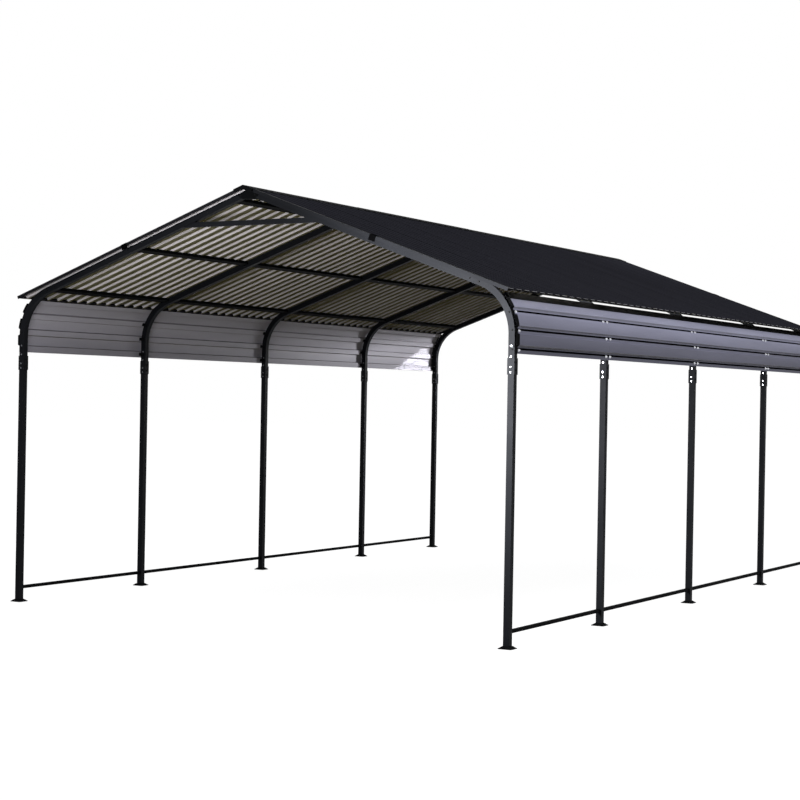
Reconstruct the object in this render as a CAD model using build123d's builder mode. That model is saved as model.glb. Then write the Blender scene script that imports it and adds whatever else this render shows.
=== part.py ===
from build123d import *
import os
from math import atan, cos, degrees, sin, tan

# Steel carport: five tube frames carry purlins, ribbed roof sheets and ribbed side panels.
# Millimetres. X runs across, Y from front to back, Z up. The origin is on the ground, in the middle.

# Clearances
fit = 0.2  # between pieces that lie against each other
joint_gap = 1  # between the ends of pieces in one row
overrun = 5  # how far a cut runs past what it cuts

# Tube frames
tube = 38
tube_wall = 2
post_spread = 3590  # between the centres of the left and right posts
end_bay = 1270
middle_bay = 1524
leg_height = 1749  # where the legs begin to bend
rise_share = 0.36  # rise of the roof over its run
bend_radius = 310  # to the centre of the tube
bend_tail = 38  # straight end of the bent tube, up the slope

# Splice sleeves around the legs
splice_drop = 180  # below the start of the bend
sleeve_length = 92
sleeve_wall = 3

# Foot plates
foot_size = 86
foot_corner = 8
foot_plate = 4
foot_hole = 8
foot_hole_spacing = 71
hub_base = 80
hub_top = 42
hub_corner = 7
hub_rise = 12

# Base rails
rail = 20
rail_wall = 1.5
rail_height = 93

# Peak brackets
bracket_wall = 3
bracket_base = 88
bracket_reach = 86
bracket_drop = 20  # below the rafters' undersides at the ridge
bracket_inset = 3

# Collar ties of the end frames
tie = 30
tie_wall = 1.5
tie_drop = 163  # below the rafters' undersides at the ridge

# Purlins
purlin_width = 40
purlin_height = 20
purlin_wall = 1.5
ridge_purlin_run = 130
middle_purlin_share = 0.507  # of the run from the ridge to the eave
eave_purlin_setback = 2  # up the slope from the end of the bend

# Ribbed roof sheets
sheet = 1
rib_crest = 64
rib_web_run = 6
rib_depth = 13
ribs_per_sheet = 7
sheets_per_slope = 8
roof_overhang = 68  # past the centres of the end frames
eave_setback = 11  # of the sheets' ends, from the centres of the posts
ridge_gap = 30

# Ridge cap and rake trims
cap_run = 70
cap_lap = 60
cap_overhang = 14
cap_face = 24  # depth of the faces folded down at its two ends
trim_face = 20
trim_cover = 34

# Side panels
panel_skirt = 109  # below the start of the bend
panel_pitch = 108
panel_crest = 62
panel_first_groove = 24
panel_grooves = 4
strip_width = 28
strip_thickness = 10

# Directions of the roof
slope = atan(rise_share)
slope_cos = cos(slope)
slope_sin = sin(slope)

# Where the frames stand
post_x = post_spread / 2
end_y = middle_bay + end_bay
frame_ys = [-end_y, -middle_bay, 0, middle_bay, end_y]

# The bend's arc runs from the upright leg to the line of the rafter
arc_x = post_x - bend_radius
arc_z = leg_height
tangent_x = arc_x + bend_radius * slope_sin
tangent_z = arc_z + bend_radius * slope_cos
tail_x = tangent_x - bend_tail * slope_cos
tail_z = tangent_z + bend_tail * slope_sin
splice_height = arc_z - splice_drop

# Runs are level distances from the ridge; the rafters' centre lines meet at the ridge line
ridge_line = tangent_z + rise_share * tangent_x
eave_run = post_x - eave_setback
middle_purlin_run = middle_purlin_share * eave_run
eave_purlin_run = tangent_x - eave_purlin_setback

# Heights above the rafters' centre lines, square to the slope
purlin_lift = tube / 2 - purlin_height / 2
sheet_lift = tube / 2 + fit
crest_lift = sheet_lift + rib_depth + sheet
lap_lift = sheet + fit
cap_lift = crest_lift + lap_lift + fit

# How far a corner of a ribbed sheet's lower face lies from the upper one, along the sheet
web_lean = sheet * tan(atan(rib_depth / rib_web_run) / 2)

foot_height = foot_plate + hub_rise
roof_half = end_y + roof_overhang
rib_pitch = (2 * roof_half - rib_crest) / (sheets_per_slope * ribs_per_sheet)


def roof_z(x, lift):
    """Height of the right slope at x, on the line that lies this far off the rafter's centre line."""
    return ridge_line + lift / slope_cos - rise_share * x


def up_slope(run, lift):
    """Plane across the right slope: its X runs to the front, its Y off the roof, its normal uphill."""
    return Plane(
        origin=(run + lift * slope_sin, 0, ridge_line - rise_share * run + lift * slope_cos),
        x_dir=(0, -1, 0),
        z_dir=(-slope_cos, 0, slope_sin),
    )


def along_ridge(run, lift, y):
    """Plane across the building on the right slope: its X runs downhill, its Y off the roof."""
    return Plane(
        origin=(run + lift * slope_sin, y, ridge_line - rise_share * run + lift * slope_cos),
        x_dir=(slope_cos, 0, -slope_sin),
        z_dir=(0, -1, 0),
    )


def upright(y):
    """Upright plane across the building at y, in X and Z."""
    return Plane.XZ.offset(-y)


def hollow(width, height, wall):
    """Section of a rectangular tube."""
    Rectangle(width, height)
    Rectangle(width - 2 * wall, height - 2 * wall, mode=Mode.SUBTRACT)


def save(piece, name):
    """Label a finished piece and write it."""
    piece.part.label = name
    export_step(piece.part, f"parts/{name}.step")


def save_both(piece, name):
    """Write a piece of the right side, and its mirror image for the left."""
    with BuildPart() as twin:
        mirror(piece.part, about=Plane.YZ)
    save(piece, f"right_{name}")
    save(twin, f"left_{name}")


def spans(ends, gap):
    """Start and length of each piece in a row that is broken at the inner ends."""
    pairs = list(zip(ends[:-1], ends[1:]))
    return [(start + gap / 2, stop - start - gap) for start, stop in pairs]


os.makedirs("parts", exist_ok=True)

# Posts: plain square tubes that stand on the feet
for number, y in enumerate(frame_ys, 1):
    with BuildPart() as post:
        with BuildSketch(Plane.XY.offset(foot_height)):
            with Locations((post_x, y)):
                hollow(tube, tube, tube_wall)
        extrude(amount=splice_height - foot_height - fit / 2)
    save_both(post, f"post_{number}")

# Feet: plates with a tapered hub under the post, and an anchor hole before and behind it
foot_centres = [(post_x, y) for y in frame_ys]
sleeve = tube + 2 * (fit + sleeve_wall)
hub_taper = degrees(atan((hub_base - hub_top) / 2 / hub_rise))
with BuildPart() as feet:
    with BuildSketch():
        with Locations(*foot_centres):
            plate = Rectangle(foot_size, foot_size)
            chamfer(plate.vertices(), foot_corner)
    extrude(amount=foot_plate)
    with BuildSketch(Plane.XY.offset(foot_plate)):
        with Locations(*foot_centres):
            hub = Rectangle(hub_base, hub_base)
            chamfer(hub.vertices(), hub_corner)
    extrude(amount=hub_rise, taper=hub_taper)
    with BuildSketch():
        with Locations(*foot_centres):
            with GridLocations(0, foot_hole_spacing, 1, 2):
                Circle(foot_hole / 2)
    extrude(amount=foot_height, mode=Mode.SUBTRACT)
save_both(feet, "feet")

# Splice sleeves: short collars where the bent tubes stand on the posts
with BuildPart() as sleeves:
    with BuildSketch(Plane.XY.offset(splice_height - sleeve_length / 2)):
        with Locations(*foot_centres):
            hollow(sleeve, sleeve, sleeve_wall)
    extrude(amount=sleeve_length)
save_both(sleeves, "splice_sleeves")

# Base rails: one between each two posts
with BuildPart() as rails:
    for start, length in spans(frame_ys, tube + 2 * fit):
        with BuildSketch(upright(start)):
            with Locations((post_x, rail_height)):
                hollow(rail, rail, rail_wall)
        extrude(amount=-length)
save_both(rails, "base_rails")

# Eave bends: upright leg, arc and a short straight end up the slope, on both sides of a frame
for number, y in enumerate(frame_ys, 1):
    with BuildPart() as bends:
        with BuildLine(upright(y)) as route:
            Line((post_x, splice_height + fit / 2), (post_x, arc_z))
            CenterArc((arc_x, arc_z), bend_radius, 0, 90 - degrees(slope))
            Line((tangent_x, tangent_z), (tail_x, tail_z))
        with BuildSketch(Plane.XY.offset(splice_height + fit / 2)):
            with Locations((post_x, y)):
                hollow(tube, tube, tube_wall)
        sweep()
        mirror(about=Plane.YZ)
    save(bends, f"eave_bends_{number}")

# Rafters: from the bends to a mitre at the ridge
rafter_run = tail_x - fit * slope_cos
for number, y in enumerate(frame_ys, 1):
    with BuildPart() as rafters:
        with BuildSketch(up_slope(rafter_run, 0)):
            with Locations((-y, 0)):
                hollow(tube, tube, tube_wall)
        extrude(amount=rafter_run / slope_cos + tube)
        split(bisect_by=Plane.YZ.offset(fit / 2), keep=Keep.TOP)
        mirror(about=Plane.YZ)
    save(rafters, f"rafters_{number}")

# Peak brackets: folded saddles with two cheeks, closed by a web under the mitre
seat_lift = -tube / 2 - fit
bracket_bottom = roof_z(0, -tube / 2) - bracket_drop
bracket_web = bracket_bottom + bracket_wall
web_half = (roof_z(0, seat_lift) - bracket_web) / rise_share
cheek_lift = tube / 2 - bracket_inset
clear_x = bracket_reach + overrun
with BuildPart() as brackets:
    for y in frame_ys:
        with BuildSketch(upright(y)):
            with BuildLine():
                Polyline(
                    (0, bracket_bottom),
                    (bracket_base / 2, bracket_bottom),
                    (bracket_reach, roof_z(bracket_reach, cheek_lift)),
                    (0, roof_z(0, cheek_lift)),
                    close=True,
                )
            make_face()
            mirror(about=Plane.YZ)
        extrude(amount=tube / 2 + fit + bracket_wall, both=True)
        with BuildSketch(upright(y)):
            with BuildLine():
                Polyline(
                    (0, bracket_web),
                    (web_half, bracket_web),
                    (clear_x, roof_z(clear_x, seat_lift)),
                    (clear_x, roof_z(0, tube)),
                    (0, roof_z(0, tube)),
                    close=True,
                )
            make_face()
            mirror(about=Plane.YZ)
        extrude(amount=tube / 2 + fit, both=True, mode=Mode.SUBTRACT)
save(brackets, "peak_brackets")

# Collar ties: tubes across the two end frames, mitred against the rafters
tie_height = roof_z(0, -tube / 2) - tie_drop
tie_low_x = (roof_z(0, seat_lift) - tie_height + tie / 2) / rise_share
tie_high_x = (roof_z(0, seat_lift) - tie_height - tie / 2) / rise_share
for name, y in (("front", -end_y), ("back", end_y)):
    with BuildPart() as collar:
        with BuildSketch(upright(y)):
            with BuildLine():
                Polyline(
                    (-tie_low_x, tie_height - tie / 2),
                    (tie_low_x, tie_height - tie / 2),
                    (tie_high_x, tie_height + tie / 2),
                    (-tie_high_x, tie_height + tie / 2),
                    close=True,
                )
            make_face()
        extrude(amount=tie / 2, both=True)
        with BuildSketch(Plane.YZ):
            with Locations((y, tie_height)):
                Rectangle(tie - 2 * tie_wall, tie - 2 * tie_wall)
        extrude(amount=tie_low_x + overrun, both=True, mode=Mode.SUBTRACT)
    save(collar, f"{name}_collar_tie")

# Purlins: flat tubes between the rafters, level with their upper faces, one to each bay
purlin_runs = {"ridge": ridge_purlin_run, "middle": middle_purlin_run, "eave": eave_purlin_run}
for name, run in purlin_runs.items():
    with BuildPart() as purlins:
        for start, length in spans(frame_ys, tube + 2 * fit):
            with BuildSketch(along_ridge(run, purlin_lift, start)):
                hollow(purlin_width, purlin_height, purlin_wall)
            extrude(amount=-length)
    save_both(purlins, f"{name}_purlins")


def ribbed_outline(first, lap):
    """Section of a roof sheet from its first crest: along the upper face, and back along the lower."""
    half = rib_crest / 2
    top = rib_depth + sheet
    wide = half + (web_lean + fit if lap else 0)
    corners = [
        (first - half, top + lap, 0),
        (first + wide, top + lap, -web_lean),
        (first + wide + rib_web_run, sheet, -web_lean),
    ]
    for number in range(1, ribs_per_sheet + 1):
        crest = first + number * rib_pitch
        corners += [
            (crest - half - rib_web_run, sheet, web_lean),
            (crest - half, top, web_lean),
            (crest + half, top, -web_lean),
            (crest + half + rib_web_run, sheet, -web_lean),
        ]
    corners[-2:] = [(crest + half, top, 0)]
    upper = [(along, height) for along, height, lean in corners]
    lower = [(along + lean, height - sheet) for along, height, lean in corners]
    return upper + lower[::-1]


# Roof sheets: each laps its crest over the crest of the sheet behind it
slope_length = (eave_run - ridge_gap) / slope_cos
with BuildPart() as roof:
    for number in range(sheets_per_slope):
        back_crest = number * ribs_per_sheet * rib_pitch - roof_half + rib_crest / 2
        with BuildSketch(up_slope(eave_run, sheet_lift)):
            with BuildLine():
                Polyline(*ribbed_outline(back_crest, lap_lift if number else 0), close=True)
            make_face()
        extrude(amount=slope_length)
save_both(roof, "roof_sheets")


def folded(lift, depth):
    """Section of a ridge cap on both slopes: its lower face at this lift, and this deep."""
    Polygon(
        (0, roof_z(0, lift)),
        (cap_run, roof_z(cap_run, lift)),
        (cap_run + depth * slope_sin, roof_z(cap_run, lift) + depth * slope_cos),
        (0, roof_z(0, lift + depth)),
        align=None,
    )
    mirror(about=Plane.YZ)


# Ridge cap: four folded lengths, every second one lapped over its neighbours, with a face at both ends
cap_tip = roof_half + cap_overhang
cap_ends = [cap_lap / 2 - cap_tip, -middle_bay, 0, middle_bay, cap_tip - cap_lap / 2]
with BuildPart() as cap:
    for number, (start, length) in enumerate(spans(cap_ends, -cap_lap)):
        with BuildSketch(upright(start)):
            folded(cap_lift + (number % 2) * lap_lift, sheet)
        extrude(amount=-length)
    for y, lift in ((-cap_tip, cap_lift), (cap_tip - sheet, cap_lift + lap_lift)):
        with BuildSketch(upright(y)):
            folded(lift, -cap_face)
        extrude(amount=-sheet)
save(cap, "ridge_cap")

# Rake trims: angles over the ends of the sheets, in two lengths that meet over the middle purlin
trim_end = roof_half + fit
lower_length = (eave_run - middle_purlin_run) / slope_cos - joint_gap
upper_length = middle_purlin_run / slope_cos + tube
for name, turn in (("front", 1), ("back", -1)):
    with BuildPart() as trim:
        for run, length in ((eave_run, lower_length), (middle_purlin_run, upper_length)):
            with BuildSketch(up_slope(run, crest_lift + fit)):
                with BuildLine():
                    Polyline(
                        (turn * (trim_end - trim_cover), 0),
                        (turn * trim_end, 0),
                        (turn * trim_end, sheet - trim_face),
                        (turn * (trim_end + sheet), sheet - trim_face),
                        (turn * (trim_end + sheet), sheet),
                        (turn * (trim_end - trim_cover), sheet),
                        close=True,
                    )
                make_face()
            extrude(amount=length)
        split(bisect_by=Plane.YZ.offset(fit / 2), keep=Keep.TOP)
    save_both(trim, f"{name}_rake_trim")

# Side panels: ribbed sheets over the inner legs, which follow the bend and stop short of the roof
face_radius = bend_radius + tube / 2 + fit
panel_bottom = arc_z - panel_skirt
groove_half = (panel_pitch - panel_crest) / 2 - rib_web_run
panel_length = panel_first_groove + (panel_grooves - 1) * panel_pitch + groove_half


def on_leg(along, out):
    """Point this far up along the outer face of a leg from the panel's edge, and this far out from it."""
    if along <= panel_skirt:
        return (arc_x + face_radius + out, panel_bottom + along)
    turned = (along - panel_skirt) / face_radius
    reach = face_radius + out
    return (arc_x + reach * cos(turned), arc_z + reach * sin(turned))


def panel_stretches():
    """Grooves and crests of a side panel from its bottom edge up: start, end and height off the leg."""
    stretches = []
    for number in range(panel_grooves):
        groove = panel_first_groove + number * panel_pitch
        crest = groove + groove_half + rib_web_run
        stretches.append((groove - groove_half if number else 0, groove + groove_half, 0))
        stretches.append((crest, crest + panel_crest, rib_depth))
    return stretches[:-1]


def panel_face(out):
    """Draw one face of a side panel, arcs along the leg joined by webs, and give its two ends."""
    lean = web_lean * (1 / 2 - out / sheet)
    corners = []
    for low, high, height in panel_stretches():
        turn = lean if height else -lean
        start = low + turn if low else low
        stop = high - turn if high < panel_length else high
        middle = (start + stop) / 2
        ends = [on_leg(start, out + height), on_leg(stop, out + height)]
        if corners:
            Line(corners[-1], ends[0])
        if stop > panel_skirt:
            ThreePointArc(ends[0], on_leg(middle, out + height), ends[1])
        else:
            Line(*ends)
        corners += ends
    return corners[0], corners[-1]


panel_end = end_y - tube / 2 - fit
panel_ends = [-panel_end, -middle_bay, 0, middle_bay, panel_end]
with BuildPart() as panels:
    for start, length in spans(panel_ends, joint_gap):
        with BuildSketch(upright(start)):
            with BuildLine():
                for edge in zip(panel_face(0), panel_face(sheet)):
                    Line(*edge)
            make_face()
        extrude(amount=-length)
save_both(panels, "side_panels")

# Strips in the top grooves of the panels, one to each panel
top_groove = panel_first_groove + (panel_grooves - 1) * panel_pitch
strip_seat = sheet + 2 * fit
with BuildPart() as strips:
    for start, length in spans(panel_ends, joint_gap):
        with BuildSketch(upright(start)):
            Polygon(
                on_leg(top_groove - strip_width / 2, strip_seat),
                on_leg(top_groove + strip_width / 2, strip_seat),
                on_leg(top_groove + strip_width / 2, strip_seat + strip_thickness),
                on_leg(top_groove - strip_width / 2, strip_seat + strip_thickness),
                align=None,
            )
        extrude(amount=-length)
    mirror(about=Plane.YZ)
save(strips, "panel_top_strips")
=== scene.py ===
"""Looks of a steel carport: finishes, fasteners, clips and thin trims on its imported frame. In metres."""

from math import atan, cos, pi, radians, sin

import bmesh
import bpy
from mathutils import Matrix, Vector


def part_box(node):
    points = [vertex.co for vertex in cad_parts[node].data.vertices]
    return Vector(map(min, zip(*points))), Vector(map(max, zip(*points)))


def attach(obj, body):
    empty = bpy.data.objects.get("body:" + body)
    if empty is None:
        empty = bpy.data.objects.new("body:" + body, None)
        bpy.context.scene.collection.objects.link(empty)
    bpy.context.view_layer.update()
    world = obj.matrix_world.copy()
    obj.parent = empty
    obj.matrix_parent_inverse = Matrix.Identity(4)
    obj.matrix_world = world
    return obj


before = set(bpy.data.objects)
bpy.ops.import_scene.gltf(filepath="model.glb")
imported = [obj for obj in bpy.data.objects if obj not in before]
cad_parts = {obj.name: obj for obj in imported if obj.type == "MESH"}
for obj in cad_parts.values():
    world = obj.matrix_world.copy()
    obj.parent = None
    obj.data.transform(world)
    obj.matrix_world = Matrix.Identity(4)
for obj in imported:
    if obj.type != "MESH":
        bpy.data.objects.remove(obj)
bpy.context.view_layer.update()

# Sizes of the frame that the small pieces follow
FIT = 0.0002
TUBE = 0.038
SLEEVE_STEP = 0.0032  # how far a splice sleeve stands off its tube
CHEEK_STEP = 0.0032  # how far a cheek of a peak bracket stands off the rafters
BEND_RADIUS = 0.310
LEG_HEIGHT = 1.749
RISE_SHARE = 0.36
EAVE_SETBACK = 0.011
MIDDLE_PURLIN_SHARE = 0.507
RIDGE_PURLIN_RUN = 0.130
EAVE_PURLIN_SETBACK = 0.002
SHEET = 0.001
RIBS = 56
RIB_CREST = 0.064
RIB_WEB_RUN = 0.006
RIB_DEPTH = 0.013
TRIM_COVER = 0.034
CAP_LAP = 0.060
PANEL_FIRST_GROOVE = 0.024
PANEL_PITCH = 0.108
PANEL_GROOVE_HALF = 0.017
PANEL_GROOVES = 4

# Bolts of 5 mm: their washers, heads, nuts and the ends that stand out of the nuts
WASHER_RADIUS = 0.0055
WASHER = 0.0012
HEXAGON_RADIUS = 0.0046
HEAD_HEIGHT = 0.0035
NUT_HEIGHT = 0.0042
BOLT_RADIUS = 0.0024
BOLT_END = 0.0018
BOLT_TIP = 0.0007
BOLT_CHAMFER = 0.0005

# Screws: rings of the seal and collar as radius and height; radius, base and height of the hexagon
SHEET_SCREW = {
    "seal": [(0.0062, 0), (0.0066, 0.0012), (0.0058, 0.0021)],
    "collar": [(0.0051, 0.0021), (0.0047, 0.003)],
    "hexagon": (0.0042, 0.003, 0.0036),
    "sides": 14,
}
PANEL_SCREW = {
    "seal": [(0.0082, 0), (0.0086, 0.0014), (0.0076, 0.0026)],
    "collar": [(0.0062, 0.0026), (0.0058, 0.0036)],
    "hexagon": (0.0055, 0.0036, 0.0042),
    "sides": 16,
}
RIVET = [(0.0045, 0), (0.0042, 0.0005), (0.003, 0.001), (0.0012, 0.0012)]

# Clips beside the legs, and over the joints of the rake trims
CLIP_WALL = 0.002
CLIP_REACH = 0.024
CLIP_DEPTH = 0.026
CLIP_LENGTH = 0.022
RAKE_CLIP_WALL = 0.0015
RAKE_CLIP_COVER = 0.040
RAKE_CLIP_FACE = 0.034
RAKE_CLIP_LENGTH = 0.045

# Fillers, and bare edges lightened as painted highlights, of the roof ribs at the eaves
CLOSURE_DEPTH = 0.018
CLOSURE_GAP = 0.0004
CORNER_LEAN = 0.0006  # how far a sheet's inner corners lie inside its outer ones
HEM = 0.0008
HEM_OUT = 0.0006  # how far the middle of a hem lies past the sheet's edge
HEM_INSET = 0.002
HEM_DROP = 0.001

# Black strips of painted shade in the side panels' grooves, and black hoods of painted shade over their top
# grooves
BEAD = 0.0012
BEAD_BELOW = 0.0025
BEAD_ABOVE = 0.009
BEAD_SLANT = 0.001
HOOD = 0.0008
HOOD_LAP = 0.012
HOOD_CREASE = 0.001
HOOD_REACH = 0.014
HOOD_DROP = 0.0015
END_TRIM_STEPS = 4  # short lengths that each flat of an end trim is bent in

# Places of the fasteners
SLEEVE_FOOT_RISES = (0.012, 0.042)  # splice bolts above the sleeve's foot
SLEEVE_TOP_RISES = (0.009, 0.067)  # splice bolts above the sleeve's top
SLEEVE_SIDE_RISES = (0.025, 0.068)  # bolts from the outer side, above the sleeve's foot
SCREW_SETBACK = 0.011
SCREW_DROP = 0.004
CLIP_BOLT_DEPTH = 0.014
RAFTER_BOLT_RUNS = (1.525, 1.584)
PEAK_BOLT_RUN = 0.052
TRIM_RIVETS = 6
CAP_RIVET_RUN = 0.058

SLOPE = atan(RISE_SHARE)
SIDES = {"left": -1, "right": 1}

# Camera: where it stands, its turns in radians, and its lens for a 36 mm sensor
CAMERA_PLACE = Vector((6.157, -11.541, 1.380))
CAMERA_YAW = 0.5262
CAMERA_PITCH = -0.0009
CAMERA_ROLL = 0.0182
CAMERA_LENS = 79.02
SENSOR = 36
VIEW_REACH = 200

# Light: the sky's strength at the horizon and overhead, and the half width of the floor
SKY_HORIZON = 0.4
SKY_ZENITH = 1.8
FLOOR_HALF = 60

# Softboxes: place, target, width and height, power in watts, angle of the beam in degrees
SOFTBOXES = {
    "front_softbox": ((0, -4.7, 2.05), (0, 0, 2.05), (1.8, 0.5), 62, 180),
    "corner_softbox": ((0.5, -4.5, 1.5), (1.75, -2.8, 1.7), (0.5, 0.5), 128, 90),
    "right_softbox": ((6.3, -0.5, 5.0), (1.85, -0.5, 1.85), (5.0, 1.2), 132, 180),
    "back_softbox": ((1.2, 5.6, 3.1), (-1.8, 1.5, 1.75), (0.5, 0.5), 38, 60),
    "high_softbox": ((3.0, 8.0, 5.77), (-1.8, 2.5, 1.72), (0.2, 0.2), 20, 16),
}

# Scales and depths of the noise in the finishes
BROAD_SCALE = 3.5
SPECK_SCALE = 260
PATCH_SCALE = 9
PEEL_SCALE = 420
PEEL_DEPTH = 0.0006
ROUGHNESS_SPREAD = 0.09
WEB_TILT = 0.5  # past this, a face of a roof sheet is the web of a rib
FOLD_TILT = 0.6  # past this, a face of a side panel is the web of a groove
PAINTED_SHADE_SPAN = 2.0  # height over which the painted shade of the side panels is measured


def leg_centres(side):
    """Centres of the posts of one side, front to back."""
    corners = [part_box(f"{side}_post_{number}") for number in range(1, 6)]
    return [((low + high) / 2).xy for low, high in corners]


LEGS = {side: leg_centres(side) for side in SIDES}
FRAME_YS = [centre.y for centre in LEGS["right"]]
POST_X = LEGS["right"][0].x

# The bent legs, the panels' grooves along them, and the ribs of the roof
ARC_X = POST_X - BEND_RADIUS
FACE_RADIUS = BEND_RADIUS + TUBE / 2 + FIT
PANEL_SKIRT = LEG_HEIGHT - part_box("right_side_panels")[0].z
PANEL_CREST_OUT = RIB_DEPTH + SHEET
*LOWER_GROOVES, TOP_GROOVE = [PANEL_FIRST_GROOVE + number * PANEL_PITCH for number in range(PANEL_GROOVES)]
RIDGE_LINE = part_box("rafters_1")[1].z - TUBE / 2 / cos(SLOPE)
ROOF_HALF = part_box("right_roof_sheets")[1].y
RIB_PITCH = (2 * ROOF_HALF - RIB_CREST) / RIBS
EAVE_RUN = POST_X - EAVE_SETBACK
PURLIN_RUNS = {
    "ridge": RIDGE_PURLIN_RUN,
    "middle": MIDDLE_PURLIN_SHARE * EAVE_RUN,
    "eave": ARC_X + BEND_RADIUS * sin(SLOPE) - EAVE_PURLIN_SETBACK,
}

# Heights above the rafters' centre lines, square to the slope
SHEET_LIFT = TUBE / 2 + FIT
TRIM_TOP = SHEET_LIFT + RIB_DEPTH + 2 * SHEET + FIT
LAP_LIFT = SHEET + FIT
CAP_TOP = TRIM_TOP + LAP_LIFT


# Nodes that the materials share


def add_node(tree, kind, links=None, **values):
    """Make a shader node, set its values and link its inputs."""
    made = tree.nodes.new(kind)
    for name, value in values.items():
        setattr(made, name, value)
    for socket, source in (links or {}).items():
        if hasattr(source, "is_output"):
            tree.links.new(source, made.inputs[socket])
        else:
            made.inputs[socket].default_value = source
    return made


def maths(tree, operation, first, second=0.0):
    """Result of one sum on two numbers or sockets."""
    made = add_node(tree, "ShaderNodeMath", {0: first, 1: second}, operation=operation)
    return made.outputs[0]


def vectors(tree, operation, first, second):
    """Node that works out one sum on two directions or places."""
    return add_node(tree, "ShaderNodeVectorMath", {0: first, 1: second}, operation=operation)


def split(tree, source):
    """The three parts of a direction or place."""
    return add_node(tree, "ShaderNodeSeparateXYZ", {0: source}).outputs


def geometry(tree):
    """What the shader knows of a face: its place and its direction."""
    return add_node(tree, "ShaderNodeNewGeometry").outputs


def blend(tree, share, first, second, kind="MIX"):
    """Two colours mixed by a share."""
    made = add_node(tree, "ShaderNodeMixRGB", {0: share, 1: first, 2: second}, blend_type=kind)
    return made.outputs[0]


def ramp(tree, source, low, high, start=0.3, stop=0.7):
    """Colour that runs from low to high as the source goes from start to stop."""
    made = add_node(tree, "ShaderNodeValToRGB", {0: source})
    ends = made.color_ramp.elements
    ends[0].position = start
    ends[0].color = (*low, 1)
    ends[1].position = stop
    ends[1].color = (*high, 1)
    return made.outputs["Color"]


def tinted(colour, share):
    """The colour, lighter or darker by a share."""
    return tuple(channel * share for channel in colour)


def noise(tree, where, scale, detail=4.0, roughness=0.55):
    """Grey noise over the surface."""
    made = add_node(
        tree,
        "ShaderNodeTexNoise",
        {"Vector": where, "Scale": scale, "Detail": detail, "Roughness": roughness},
    )
    return made.outputs["Fac"]


def stretched(tree, where, scale):
    """Coordinates squeezed along some axes, so that noise turns into streaks."""
    made = add_node(tree, "ShaderNodeMapping", {"Vector": where, "Scale": scale})
    return made.outputs["Vector"]


def start_material(name):
    """New node material; gives it, its tree, its shader and its object coordinates."""
    material = bpy.data.materials.new(name)
    material.use_nodes = True
    tree = material.node_tree
    shader = tree.nodes["Principled BSDF"]
    where = add_node(tree, "ShaderNodeTexCoord").outputs["Object"]
    return material, tree, shader, where


def finish_surface(tree, shader, where, roughness, peel, streaks=(1, 1, 1)):
    """Roughness that varies in patches, and the fine orange peel of a paint film."""
    patches = noise(tree, stretched(tree, where, streaks), PATCH_SCALE)
    low = roughness - ROUGHNESS_SPREAD
    high = roughness + ROUGHNESS_SPREAD
    varied = add_node(tree, "ShaderNodeMapRange", {"Value": patches, "To Min": low, "To Max": high})
    tree.links.new(varied.outputs["Result"], shader.inputs["Roughness"])
    film = noise(tree, where, PEEL_SCALE, 3)
    bump = add_node(
        tree, "ShaderNodeBump", {"Height": film, "Strength": peel, "Distance": PEEL_DEPTH}
    )
    tree.links.new(bump.outputs["Normal"], shader.inputs["Normal"])


def painted(tree, where, colour, spread, streaks=(1, 1, 1)):
    """Paint colour with broad, faint patches and fine specks."""
    broad = noise(tree, stretched(tree, where, streaks), BROAD_SCALE)
    patches = ramp(tree, broad, tinted(colour, 1 - spread), tinted(colour, 1 + spread))
    fine = noise(tree, where, SPECK_SCALE, 2)
    specks = ramp(tree, fine, (0.92, 0.92, 0.93), (1.06, 1.06, 1.07))
    return blend(tree, 1.0, patches, specks, "MULTIPLY")


# Finishes


def powder_coat(name, colour, roughness, gloss):
    """Powder-coated steel tube."""
    material, tree, shader, where = start_material(name)
    tree.links.new(painted(tree, where, colour, 0.12), shader.inputs["Base Color"])
    shader.inputs["Specular IOR Level"].default_value = gloss
    finish_surface(tree, shader, where, roughness, 0.18)
    return material


def zinc(name, colour, roughness, metallic, gloss=0.3):
    """Plated steel of bolts, nuts and screws."""
    material, tree, shader, where = start_material(name)
    tree.links.new(painted(tree, where, colour, 0.1), shader.inputs["Base Color"])
    shader.inputs["Metallic"].default_value = metallic
    shader.inputs["Specular IOR Level"].default_value = gloss
    finish_surface(tree, shader, where, roughness, 0.1)
    return material


def coated_sheet(name, outer, inner, painted_fold_shading, is_outer, is_fold, roughness, gloss, streaks, tone=None):
    """Coated sheet: its weather side, its inner side, a painted shading on the webs that is_fold picks
    (painted light on a roof, painted shade on a panel), and a tone over it all that can paint more shade and
    light.
    """
    material, tree, shader, where = start_material(name)
    weather = painted(tree, where, outer, 0.10, streaks)
    lining = painted(tree, where, inner, 0.05, streaks)
    # Painted shading on the webs: a lighter copy of the coat is painted light, a darker copy is painted
    # shade
    painted_fold_colour = painted(tree, where, painted_fold_shading, 0.10, streaks)
    colour = blend(tree, is_fold(tree), blend(tree, is_outer(tree), lining, weather), painted_fold_colour)
    if tone:
        colour = blend(tree, 1.0, colour, tone(tree), "MULTIPLY")
    tree.links.new(colour, shader.inputs["Base Color"])
    shader.inputs["Specular IOR Level"].default_value = gloss
    finish_surface(tree, shader, where, roughness, 0.12, streaks)
    return material


def looks_up(tree):
    """One on the faces of the roof sheets that look up."""
    return maths(tree, "GREATER_THAN", split(tree, geometry(tree)["True Normal"])["Z"], 0.0)


def is_painted_lit_lining(tree):
    """One on the webs of the roof sheets' ribs and on the sheets' rims past the end frames, from below,
    where the lining gets painted light.
    """
    way = split(tree, geometry(tree)["True Normal"])
    length = split(tree, geometry(tree)["Position"])["Y"]
    web = maths(tree, "GREATER_THAN", maths(tree, "ABSOLUTE", way["Y"]), WEB_TILT)
    rim = maths(tree, "GREATER_THAN", maths(tree, "ABSOLUTE", length), FRAME_YS[-1] - TUBE / 2)
    below = maths(tree, "LESS_THAN", way["Z"], 0.0)
    return maths(tree, "MULTIPLY", maths(tree, "MAXIMUM", web, rim), below)


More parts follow.
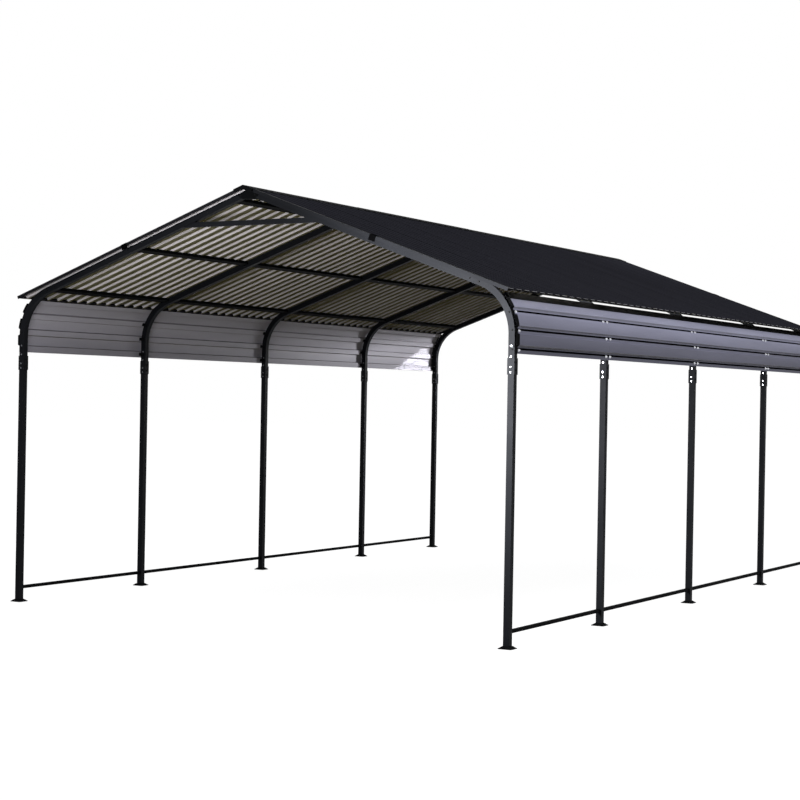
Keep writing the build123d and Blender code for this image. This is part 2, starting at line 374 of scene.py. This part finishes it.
def leg_way(tree, sign):
    """Direction away from the bent legs of a side, and the direction of the face."""
    face = geometry(tree)
    centre = (sign * ARC_X, 0, LEG_HEIGHT)
    parts = split(tree, vectors(tree, "SUBTRACT", face["Position"], centre).outputs[0])
    above = maths(tree, "MAXIMUM", parts["Z"], 0.0)
    away = add_node(tree, "ShaderNodeCombineXYZ", {"X": parts["X"], "Z": above})
    way = add_node(tree, "ShaderNodeVectorMath", {0: away.outputs[0]}, operation="NORMALIZE")
    return way.outputs[0], face["True Normal"]


def leg_turn(tree, sign):
    """How far a face of a side panel looks away from the legs; below zero on the inner side."""
    return vectors(tree, "DOT_PRODUCT", *leg_way(tree, sign)).outputs["Value"]


def leg_tilt(tree, sign):
    """How far a face of a side panel looks along the legs, down or up."""
    return split(tree, vectors(tree, "CROSS_PRODUCT", *leg_way(tree, sign)).outputs[0])["Y"]


def off_leg(sign):
    """Test for the faces of a side panel that look away from the legs of its side."""

    def is_outer(tree):
        return maths(tree, "GREATER_THAN", leg_turn(tree, sign), 0.0)

    return is_outer


def inner_fold_painted_shade(sign):
    """Test for the webs of a side panel's grooves, seen from the inner side, which get a darker coat as
    painted shade.
    """

    def is_fold(tree):
        steep = maths(tree, "GREATER_THAN", maths(tree, "ABSOLUTE", leg_tilt(tree, sign)), FOLD_TILT)
        inner = maths(tree, "LESS_THAN", leg_turn(tree, sign), 0.0)
        return maths(tree, "MULTIPLY", steep, inner)

    return is_fold


def painted_shade_to_foot(sign):
    """Tone of a side panel: painted shade that darkens it towards its lower edge, and painted light on its
    webs that look down.
    """

    def tone(tree):
        height = split(tree, geometry(tree)["Position"])["Z"]
        share = maths(tree, "DIVIDE", height, PAINTED_SHADE_SPAN)
        # Painted shade: darker towards the lower edge, on the inner and the outer side
        inside = ramp(tree, share, (0.60, 0.60, 0.61), (1, 1, 1), 0.83, 0.93)
        outside = ramp(tree, share, (0.33, 0.33, 0.34), (1, 1, 1), 0.835, 0.955)
        foot_shade = blend(tree, off_leg(sign)(tree), inside, outside)
        # Painted light on the webs that look down
        down = maths(tree, "MULTIPLY", leg_tilt(tree, sign), sign)
        painted_light_webs = maths(tree, "GREATER_THAN", down, FOLD_TILT)
        return blend(tree, painted_light_webs, foot_shade, (1.7, 1.7, 1.55, 1))

    return tone


FRAME_COAT = powder_coat("frame_coat", (0.0058, 0.0063, 0.0078), roughness=0.55, gloss=0.03)
DARK_COAT = powder_coat("dark_coat", (0.0030, 0.0032, 0.0036), roughness=0.65, gloss=0.01)
TRIM_COAT = powder_coat("trim_coat", (0.0070, 0.0074, 0.0088), roughness=0.6, gloss=0.02)
# Black of rubber for the rake clips, and painted shade for the strips in the panels' grooves
RUBBER_AND_SHADE = powder_coat("rubber_and_shade", (0.0009, 0.0009, 0.001), roughness=0.8, gloss=0.0)
# The roof's lining is one coat painted in two copies: darker olive on the flats and crest undersides as
# painted shade, and pale on the ribs' webs and the rims past the end frames as painted light.
ROOF_COAT = coated_sheet(
    "roof_coat",
    outer=(0.0195, 0.0195, 0.024),
    inner=(0.30, 0.28, 0.175),
    painted_fold_shading=(0.59, 0.565, 0.585),
    is_outer=looks_up,
    is_fold=is_painted_lit_lining,
    roughness=0.7,
    gloss=0.0,
    streaks=(0.3, 4, 0.3),
)
# The panels' inner webs take a darker copy of the inner coat, painted shade
PANEL_COATS = {
    side: coated_sheet(
        f"{side}_panel_coat",
        outer=(0.285, 0.288, 0.385),
        inner=(0.355, 0.345, 0.388),
        painted_fold_shading=(0.15, 0.143, 0.158),
        is_outer=off_leg(sign),
        is_fold=inner_fold_painted_shade(sign),
        roughness=0.55,
        gloss=0.12,
        streaks=(4, 0.3, 4),
        tone=painted_shade_to_foot(sign),
    )
    for side, sign in SIDES.items()
}
BRIGHT_ZINC = zinc("bright_zinc", (0.84, 0.85, 0.88), roughness=0.42, metallic=1.0)
# Darker copy of the bright zinc, painted shade for the left splice bolts
SHADED_ZINC = zinc("shaded_zinc", (0.14, 0.145, 0.16), roughness=0.5, metallic=0.0, gloss=0.1)
DARK_ZINC = zinc("dark_zinc", (0.006, 0.006, 0.0065), roughness=0.6, metallic=0.0, gloss=0.03)
# Light grey of bare cut steel, partly a painted highlight on the crest edges at the eave
EDGE_STEEL_AND_HIGHLIGHT = zinc("edge_steel_and_highlight", (0.30, 0.30, 0.33), roughness=0.5, metallic=0.1)

DARK_NODES = ("ridge_cap", "peak_brackets", "feet", "rails", "purlins", "strips")


def coat_of(name):
    """Finish of a node of the frame, by its name."""
    for side in SIDES:
        if name == f"{side}_side_panels":
            return PANEL_COATS[side]
    if "roof_sheets" in name:
        return ROOF_COAT
    if "rake_trim" in name:
        return TRIM_COAT
    if any(word in name for word in DARK_NODES):
        return DARK_COAT
    return FRAME_COAT


for name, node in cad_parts.items():
    node.data.materials.clear()
    node.data.materials.append(coat_of(name))


# Shapes of the small pieces


def facing(place, outward):
    """Matrix that stands a fastener on a face: its Z runs outward."""
    turn = Vector(outward).to_track_quat("Z", "Y").to_matrix().to_4x4()
    return Matrix.Translation(place) @ turn


def axes(place, across, up, along):
    """Matrix with its X, Y and Z along three directions."""
    turn = Matrix((across, up, along)).transposed().to_4x4()
    return Matrix.Translation(place) @ turn


def add_loops(mesh, loops):
    """Close a row of corner loops into one solid."""
    rows = [[mesh.verts.new(corner) for corner in loop] for loop in loops]
    count = len(rows[0])
    for lower, upper in zip(rows[:-1], rows[1:]):
        for k in range(count):
            after = (k + 1) % count
            mesh.faces.new((lower[k], lower[after], upper[after], upper[k]))
    mesh.faces.new(rows[0][::-1])
    mesh.faces.new(rows[-1])


def add_rings(mesh, place, rings, sides):
    """Solid from a stack of rings, each a radius and a height."""
    turns = [2 * pi * k / sides for k in range(sides)]
    add_loops(
        mesh,
        [[place @ Vector((r * cos(t), r * sin(t), height)) for t in turns] for r, height in rings],
    )


def add_prism(mesh, place, outline, length):
    """Solid from an outline in the X and Y of its place, half of its length to each side."""
    add_loops(
        mesh,
        [[place @ Vector((x, y, z)) for x, y in outline] for z in (-length / 2, length / 2)],
    )


def add_washer(mesh, place):
    """Washer with a broken outer edge."""
    edge = WASHER / 4
    rings = [(WASHER_RADIUS, 0), (WASHER_RADIUS, WASHER - edge), (WASHER_RADIUS - edge, WASHER)]
    add_rings(mesh, place, rings, 16)


def add_hexagon(mesh, place, radius, base, height):
    """Hexagon of a bolt head or nut, with its top corners turned off."""
    rings = [(radius, base), (radius, base + 0.8 * height), (0.84 * radius, base + height)]
    add_rings(mesh, place, rings, 6)


def add_bolt_head(mesh, place):
    """Hexagon head of a bolt on its washer."""
    add_washer(mesh, place)
    add_hexagon(mesh, place, HEXAGON_RADIUS, WASHER, HEAD_HEIGHT)


def add_nut(mesh, place):
    """Nut of a bolt on its washer, with the end of the bolt."""
    add_washer(mesh, place)
    add_hexagon(mesh, place, HEXAGON_RADIUS, WASHER, NUT_HEIGHT)
    base = WASHER + NUT_HEIGHT
    end = base + BOLT_END
    rings = [(BOLT_RADIUS, base), (BOLT_RADIUS, end), (BOLT_RADIUS - BOLT_CHAMFER, end + BOLT_TIP)]
    add_rings(mesh, place, rings, 12)


def add_screw(mesh, place, screw):
    """Hexagon head of a screw on its collar and seal."""
    add_rings(mesh, place, screw["seal"], screw["sides"])
    add_rings(mesh, place, screw["collar"], screw["sides"])
    add_hexagon(mesh, place, *screw["hexagon"])


def add_rivet(mesh, place):
    """Low domed head of a rivet."""
    add_rings(mesh, place, RIVET, 12)


def add_panel_clip(mesh, place):
    """Folded clip beside a leg: one flap lies on the leg's side, the other under the panel."""
    outline = [
        (0, 0),
        (CLIP_REACH, 0),
        (CLIP_REACH, -CLIP_WALL),
        (CLIP_WALL, -CLIP_WALL),
        (CLIP_WALL, -CLIP_DEPTH),
        (0, -CLIP_DEPTH),
    ]
    add_prism(mesh, place, outline, CLIP_LENGTH)


def add_rake_clip(mesh, place):
    """Folded clip over the joint of two rake trims."""
    outline = [
        (0, RAKE_CLIP_WALL),
        (0, -RAKE_CLIP_FACE),
        (-RAKE_CLIP_WALL, -RAKE_CLIP_FACE),
        (-RAKE_CLIP_WALL, 0),
        (-RAKE_CLIP_COVER, 0),
        (-RAKE_CLIP_COVER, RAKE_CLIP_WALL),
    ]
    add_prism(mesh, place, outline, RAKE_CLIP_LENGTH)


def add_closure(mesh, place, upright):
    """Filler in the hollow of a rib at the eave; upright is -1 or 1 at the end where the rib has no web."""
    top = RIB_CREST / 2 - CORNER_LEAN - CLOSURE_GAP
    foot = top + RIB_WEB_RUN
    low = top if upright < 0 else foot
    high = top if upright > 0 else foot
    ceiling = RIB_DEPTH - CLOSURE_GAP
    outline = [(-low, CLOSURE_GAP), (high, CLOSURE_GAP), (top, ceiling), (-top, ceiling)]
    add_prism(mesh, place, outline, CLOSURE_DEPTH)


def add_hem(mesh, place):
    """Bare steel edge on the crest of a rib at the eave, light grey so that it also paints the highlight of
    the edge.
    """
    half = RIB_CREST / 2 - HEM_INSET
    low = RIB_DEPTH - HEM_DROP
    high = RIB_DEPTH + SHEET
    add_prism(mesh, place, [(-half, low), (half, low), (half, high), (-half, high)], HEM)


def make_piece(name, material, shapes):
    """One piece that joins many small shapes, each given with what it is placed by."""
    mesh = bmesh.new()
    for shape, *place in shapes:
        shape(mesh, *place)
    bmesh.ops.recalc_face_normals(mesh, faces=mesh.faces)
    data = bpy.data.meshes.new(name)
    mesh.to_mesh(data)
    mesh.free()
    data.materials.append(material)
    piece = bpy.data.objects.new(name, data)
    bpy.context.scene.collection.objects.link(piece)
    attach(piece, "root")


# Fasteners and trims of the legs and side panels


def splice_bolts(side):
    """Bolts through the legs at the splices, from front to back."""
    low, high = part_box(f"{side}_splice_sleeves")
    half = TUBE / 2
    through = [(low.z + rise, half + SLEEVE_STEP) for rise in SLEEVE_FOOT_RISES]
    through += [(high.z + rise, half) for rise in SLEEVE_TOP_RISES]
    for centre in LEGS[side]:
        for z, reach in through:
            yield add_bolt_head, facing((centre.x, centre.y - reach, z), (0, -1, 0))
            yield add_nut, facing((centre.x, centre.y + reach, z), (0, 1, 0))


def sleeve_bolts(side):
    """Dark bolts through the splice sleeves from their outer sides."""
    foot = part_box(f"{side}_splice_sleeves")[0].z
    reach = TUBE / 2 + SLEEVE_STEP
    sign = SIDES[side]
    for centre in LEGS[side]:
        for rise in SLEEVE_SIDE_RISES:
            z = foot + rise
            yield add_bolt_head, facing((centre.x + sign * reach, centre.y, z), (sign, 0, 0))
            yield add_nut, facing((centre.x - sign * reach, centre.y, z), (-sign, 0, 0))


def on_panel(side, along, out):
    """Point on a side's legs, this far up from the panels' lower edge and this far off their outer faces."""
    sign = SIDES[side]
    turned = max(along - PANEL_SKIRT, 0) / FACE_RADIUS
    drop = min(along - PANEL_SKIRT, 0)
    reach = FACE_RADIUS + out
    outward = Vector((sign * cos(turned), 0, sin(turned)))
    return Vector((sign * ARC_X, 0, LEG_HEIGHT + drop)) + outward * reach, outward


def panel_ways():
    """The frames, each with the ways in which panels leave it: to the front, to the back or both."""
    for y in FRAME_YS:
        ways = []
        if y > FRAME_YS[0]:
            ways.append(-1)
        if y < FRAME_YS[-1]:
            ways.append(1)
        yield y, ways


def panel_screws(side):
    """Screws that hold the side panels on the clips beside the legs."""
    beside = TUBE / 2 + SCREW_SETBACK
    for groove in LOWER_GROOVES:
        place, outward = on_panel(side, groove - SCREW_DROP, SHEET + FIT + BEAD)
        for y, ways in panel_ways():
            for way in ways:
                seat = place + Vector((0, y + way * beside, 0))
                yield add_screw, facing(seat, outward), PANEL_SCREW


def panel_clips(side):
    """Clips beside the legs, under the grooves of the side panels."""
    for groove in LOWER_GROOVES:
        place, outward = on_panel(side, groove, -2 * FIT)
        along = outward.cross(Vector((0, 1, 0)))
        for y, ways in panel_ways():
            for way in ways:
                corner = place + Vector((0, y + way * (TUBE / 2 + FIT), 0))
                yield add_panel_clip, axes(corner, Vector((0, way, 0)), outward, along)


def clip_bolts(side):
    """Dark bolts through the legs that hold the clips."""
    wall = CLIP_WALL + FIT
    for groove in LOWER_GROOVES:
        place = on_panel(side, groove, -CLIP_BOLT_DEPTH)[0]
        for y, ways in panel_ways():
            front = TUBE / 2 + (wall if -1 in ways else 0)
            back = TUBE / 2 + (wall if 1 in ways else 0)
            yield add_bolt_head, facing(place + Vector((0, y - front, 0)), (0, -1, 0))
            yield add_nut, facing(place + Vector((0, y + back, 0)), (0, 1, 0))


def add_along_panel(mesh, side, corners, start, stop):
    """Solid from an outline on the legs, given by places along them and off them, between two lengths."""
    points = [on_panel(side, along, out)[0] for along, out in corners]
    add_loops(mesh, [[point + Vector((0, y, 0)) for point in points] for y in (start, stop)])


def panel_bays():
    """Front and back ends of the side panels."""
    clear = TUBE / 2 + SHEET
    for start, stop in zip(FRAME_YS[:-1], FRAME_YS[1:]):
        first = start == FRAME_YS[0]
        last = stop == FRAME_YS[-1]
        yield start + (clear if first else FIT), stop - (clear if last else FIT)


def add_shade_beads(mesh, side):
    """Black strips along the panels' lower grooves, painted shade that darkens each groove."""
    low = SHEET + FIT
    high = low + BEAD
    for groove in LOWER_GROOVES:
        corners = [
            (groove - BEAD_BELOW, low),
            (groove + BEAD_ABOVE, low),
            (groove + BEAD_ABOVE - BEAD_SLANT, high),
            (groove - BEAD_BELOW + BEAD_SLANT, high),
        ]
        for start, stop in panel_bays():
            add_along_panel(mesh, side, corners, start, stop)


def add_shade_hoods(mesh, side):
    """Thin black sheets over the strips at the panels' tops and the edges of the crests below them, painted
    shade under the eaves.
    """
    edge = TOP_GROOVE - PANEL_GROOVE_HALF - RIB_WEB_RUN
    crest = PANEL_CREST_OUT + FIT
    route = [
        (edge - HOOD_LAP, crest),
        (edge + HOOD_CREASE, crest),
        (TOP_GROOVE + HOOD_REACH, crest - HOOD_DROP),
    ]
    corners = route + [(along, out + HOOD) for along, out in route[::-1]]
    for start, stop in panel_bays():
        add_along_panel(mesh, side, corners, start, stop)


def panel_profile():
    """Places along and off the legs of a panel's outer face, from its lower edge up."""
    corners = [(0, 0)]
    for groove in (*LOWER_GROOVES, TOP_GROOVE):
        if groove > LOWER_GROOVES[0]:
            corners.append((groove - PANEL_GROOVE_HALF - RIB_WEB_RUN, RIB_DEPTH))
            corners.append((groove - PANEL_GROOVE_HALF, 0))
        corners.append((groove + PANEL_GROOVE_HALF, 0))
        if groove < TOP_GROOVE:
            corners.append((groove + PANEL_GROOVE_HALF + RIB_WEB_RUN, RIB_DEPTH))
    return corners


def add_end_trims(mesh, side):
    """Black ribbed trims in line with the panels, on the outer faces of the end frames."""
    route = panel_profile()
    fine = [route[0]]
    for (low, near), (high, far) in zip(route[:-1], route[1:]):
        for step in range(1, END_TRIM_STEPS + 1):
            share = step / END_TRIM_STEPS
            fine.append((low + (high - low) * share, near + (far - near) * share))
    outer = [(along, out + SHEET) for along, out in fine]
    inner = [(along, out + FIT) for along, out in fine]
    corners = outer + inner[::-1]
    for y in (FRAME_YS[0], FRAME_YS[-1]):
        add_along_panel(mesh, side, corners, y - TUBE / 2, y + TUBE / 2)


# Fasteners and trims of the roof


def on_slope(side, run, lift):
    """Point on a slope, this far from the ridge and this far off the rafters' centre lines."""
    x = run + lift * sin(SLOPE)
    return Vector((SIDES[side] * x, 0, RIDGE_LINE - RISE_SHARE * run + lift * cos(SLOPE)))


def off_slope(side):
    """Direction off a slope."""
    return Vector((SIDES[side] * sin(SLOPE), 0, cos(SLOPE)))


def down_slope(side):
    """Direction down a slope."""
    return Vector((SIDES[side] * cos(SLOPE), 0, -sin(SLOPE)))


def rib_place(number):
    """Place along the roof of the middle of a rib."""
    return RIB_CREST / 2 - ROOF_HALF + number * RIB_PITCH


def roof_screws(side):
    """Screws in the troughs of the roof sheets, over each purlin."""
    for run in PURLIN_RUNS.values():
        place = on_slope(side, run, SHEET_LIFT + SHEET)
        for number in range(RIBS):
            seat = place + Vector((0, rib_place(number) + RIB_PITCH / 2, 0))
            yield add_screw, facing(seat, off_slope(side)), SHEET_SCREW


def eave_ribs(side, down):
    """Numbers of the roof sheets' ribs and places under them, this far down the slope from the eave."""
    origin = on_slope(side, EAVE_RUN, SHEET_LIFT) + down_slope(side) * down
    for number in range(RIBS + 1):
        place = origin + Vector((0, rib_place(number), 0))
        yield number, axes(place, Vector((0, 1, 0)), off_slope(side), down_slope(side))


def eave_closures(side):
    """Fillers in the ribs of the roof sheets at the eave; the first and last ribs have one web each."""
    upright = {0: -1, RIBS: 1}
    for number, place in eave_ribs(side, -CLOSURE_DEPTH / 2):
        yield add_closure, place, upright.get(number, 0)


def eave_hems(side):
    """Bare edges of the roof sheets' crests at the eave, light as painted highlights."""
    for _, place in eave_ribs(side, HEM_OUT):
        yield add_hem, place


def rake_clips(side):
    """Clips over the joints of the rake trims, in front and at the back."""
    place = on_slope(side, PURLIN_RUNS["middle"], TRIM_TOP + FIT)
    outer = ROOF_HALF + SHEET + 2 * FIT + RAKE_CLIP_WALL
    for way in (-1, 1):
        # The trims' corner, with the clip's cover towards the middle of the roof
        corner = place + Vector((0, way * outer, 0))
        yield add_rake_clip, axes(corner, Vector((0, way, 0)), off_slope(side), down_slope(side))


def trim_rivets(side):
    """Rivets through the rake trims into the first and last ribs."""
    inset = TRIM_COVER / 2
    for way in (-1, 1):
        for number in range(TRIM_RIVETS):
            run = EAVE_RUN * (number + 0.5) / TRIM_RIVETS
            place = on_slope(side, run, TRIM_TOP)
            seat = place + Vector((0, way * (ROOF_HALF - inset), 0))
            yield add_rivet, facing(seat, off_slope(side))


def cap_rivets(side):
    """Rivets along the edges of the ridge cap, on every second rib."""
    breaks = FRAME_YS[1:-1]
    for number in range(1, RIBS, 2):
        y = rib_place(number)
        odd = sum(y > broken for broken in breaks) % 2
        lapped = any(abs(y - broken) < CAP_LAP / 2 for broken in breaks)
        lift = CAP_TOP + (LAP_LIFT if odd or lapped else 0)
        place = on_slope(side, CAP_RIVET_RUN, lift)
        yield add_rivet, facing(place + Vector((0, y, 0)), off_slope(side))


def rafter_bolts():
    """Bolts that hold the rafters in the bent tubes and in the brackets at the ridge."""
    rows = [(run, TUBE / 2) for run in RAFTER_BOLT_RUNS]
    rows.append((PEAK_BOLT_RUN, TUBE / 2 + CHEEK_STEP))
    for y in FRAME_YS:
        for side in SIDES:
            for run, reach in rows:
                place = on_slope(side, run, 0)
                yield add_bolt_head, facing(place + Vector((0, y - reach, 0)), (0, -1, 0))
                yield add_nut, facing(place + Vector((0, y + reach, 0)), (0, 1, 0))


for side in SIDES:
    # The left splice bolts take the shaded copy of the zinc as painted shade; the right ones the bright zinc
    bolt_zinc = BRIGHT_ZINC if side == "right" else SHADED_ZINC
    make_piece(f"{side}_splice_bolts", bolt_zinc, splice_bolts(side))
    make_piece(f"{side}_sleeve_bolts", DARK_ZINC, sleeve_bolts(side))
    make_piece(f"{side}_panel_end_trims", DARK_COAT, [(add_end_trims, side)])
    make_piece(f"{side}_panel_shade_beads", RUBBER_AND_SHADE, [(add_shade_beads, side)])
    # Black hoods of dark coat, painted shade at the panels' tops
    make_piece(f"{side}_panel_shade_hoods", DARK_COAT, [(add_shade_hoods, side)])
    make_piece(f"{side}_panel_screws", BRIGHT_ZINC, panel_screws(side))
    make_piece(f"{side}_panel_clips", DARK_COAT, panel_clips(side))
    make_piece(f"{side}_clip_bolts", DARK_ZINC, clip_bolts(side))
    make_piece(f"{side}_roof_screws", TRIM_COAT, roof_screws(side))
    make_piece(f"{side}_eave_closures", DARK_COAT, eave_closures(side))
    make_piece(f"{side}_eave_hems", EDGE_STEEL_AND_HIGHLIGHT, eave_hems(side))
    make_piece(f"{side}_rake_clips", RUBBER_AND_SHADE, rake_clips(side))
    make_piece(f"{side}_trim_rivets", TRIM_COAT, trim_rivets(side))
    make_piece(f"{side}_cap_rivets", TRIM_COAT, cap_rivets(side))
make_piece("rafter_bolts", DARK_ZINC, rafter_bolts())


# Floor, light and camera


def shown(tree):
    """One for rays from the camera, and for those that a glossy or clear surface sends on."""
    path = add_node(tree, "ShaderNodeLightPath").outputs
    direct = maths(tree, "MAXIMUM", path["Is Camera Ray"], path["Is Glossy Ray"])
    return maths(tree, "MAXIMUM", direct, path["Is Transmission Ray"])


def floor_material():
    """Pale studio floor with a faint shadow, which throws back a dim olive light."""
    material = bpy.data.materials.new("studio_floor")
    material.use_nodes = True
    tree = material.node_tree
    tree.nodes.clear()
    pale = add_node(tree, "ShaderNodeBsdfDiffuse", {"Color": (0.12, 0.12, 0.12, 1)})
    glow = add_node(tree, "ShaderNodeEmission", {"Color": (1, 1, 1, 1), "Strength": 0.93})
    bright = add_node(tree, "ShaderNodeAddShader", {0: pale.outputs[0], 1: glow.outputs[0]})
    dim = add_node(tree, "ShaderNodeBsdfDiffuse", {"Color": (0.062, 0.055, 0.029, 1)})
    mixed = add_node(
        tree, "ShaderNodeMixShader", {0: shown(tree), 1: dim.outputs[0], 2: bright.outputs[0]}
    )
    add_node(tree, "ShaderNodeOutputMaterial", {"Surface": mixed.outputs[0]})
    return material


def make_floor(half):
    """Square floor, this far each way from the middle."""
    data = bpy.data.meshes.new("floor")
    corners = [(-half, -half, 0), (half, -half, 0), (half, half, 0), (-half, half, 0)]
    data.from_pydata(corners, [], [(0, 1, 2, 3)])
    data.materials.append(floor_material())
    floor = bpy.data.objects.new("floor", data)
    bpy.context.scene.collection.objects.link(floor)


def make_world(horizon, zenith):
    """White behind the object, and a soft light on it that comes mostly from above."""
    world = bpy.data.worlds.new("studio")
    world.use_nodes = True
    tree = world.node_tree
    tree.nodes.clear()
    way = add_node(tree, "ShaderNodeTexCoord").outputs["Generated"]
    height = maths(tree, "MAXIMUM", split(tree, way)["Z"], 0.0)
    raised = maths(tree, "MULTIPLY", maths(tree, "POWER", height, 3.0), zenith - horizon)
    level = maths(tree, "ADD", raised, horizon)
    soft = add_node(tree, "ShaderNodeBackground", {"Color": (0.95, 0.96, 1, 1), "Strength": level})
    white = add_node(tree, "ShaderNodeBackground", {"Color": (1, 1, 1, 1), "Strength": 1.0})
    mixed = add_node(
        tree, "ShaderNodeMixShader", {0: shown(tree), 1: soft.outputs[0], 2: white.outputs[0]}
    )
    add_node(tree, "ShaderNodeOutputWorld", {"Surface": mixed.outputs[0]})
    bpy.context.scene.world = world


def add_softbox(name, place, target, size, power, spread):
    """Rectangular soft light, turned to its target."""
    light = bpy.data.lights.new(name, "AREA")
    light.shape = "RECTANGLE"
    light.size, light.size_y = size
    light.energy = power
    light.spread = radians(spread)
    lamp = bpy.data.objects.new(name, light)
    lamp.location = place
    lamp.rotation_euler = (Vector(target) - Vector(place)).to_track_quat("-Z", "Y").to_euler()
    lamp.visible_camera = False
    bpy.context.scene.collection.objects.link(lamp)


def make_camera():
    """Camera at the photograph's view."""
    level = Vector((cos(CAMERA_YAW), sin(CAMERA_YAW), 0))
    ahead = Vector((-sin(CAMERA_YAW), cos(CAMERA_YAW), 0))
    forward = cos(CAMERA_PITCH) * ahead + Vector((0, 0, sin(CAMERA_PITCH)))
    above = level.cross(forward)
    right = cos(CAMERA_ROLL) * level + sin(CAMERA_ROLL) * above
    up = cos(CAMERA_ROLL) * above - sin(CAMERA_ROLL) * level
    lens = bpy.data.cameras.new("camera")
    lens.sensor_width = SENSOR
    lens.lens = CAMERA_LENS
    lens.clip_end = VIEW_REACH
    camera = bpy.data.objects.new("camera", lens)
    camera.matrix_world = axes(CAMERA_PLACE, right, up, -forward)
    bpy.context.scene.collection.objects.link(camera)
    bpy.context.scene.camera = camera


make_floor(FLOOR_HALF)
make_world(SKY_HORIZON, SKY_ZENITH)
for name, settings in SOFTBOXES.items():
    add_softbox(name, *settings)
make_camera()
bpy.context.scene.view_settings.view_transform = "Standard"
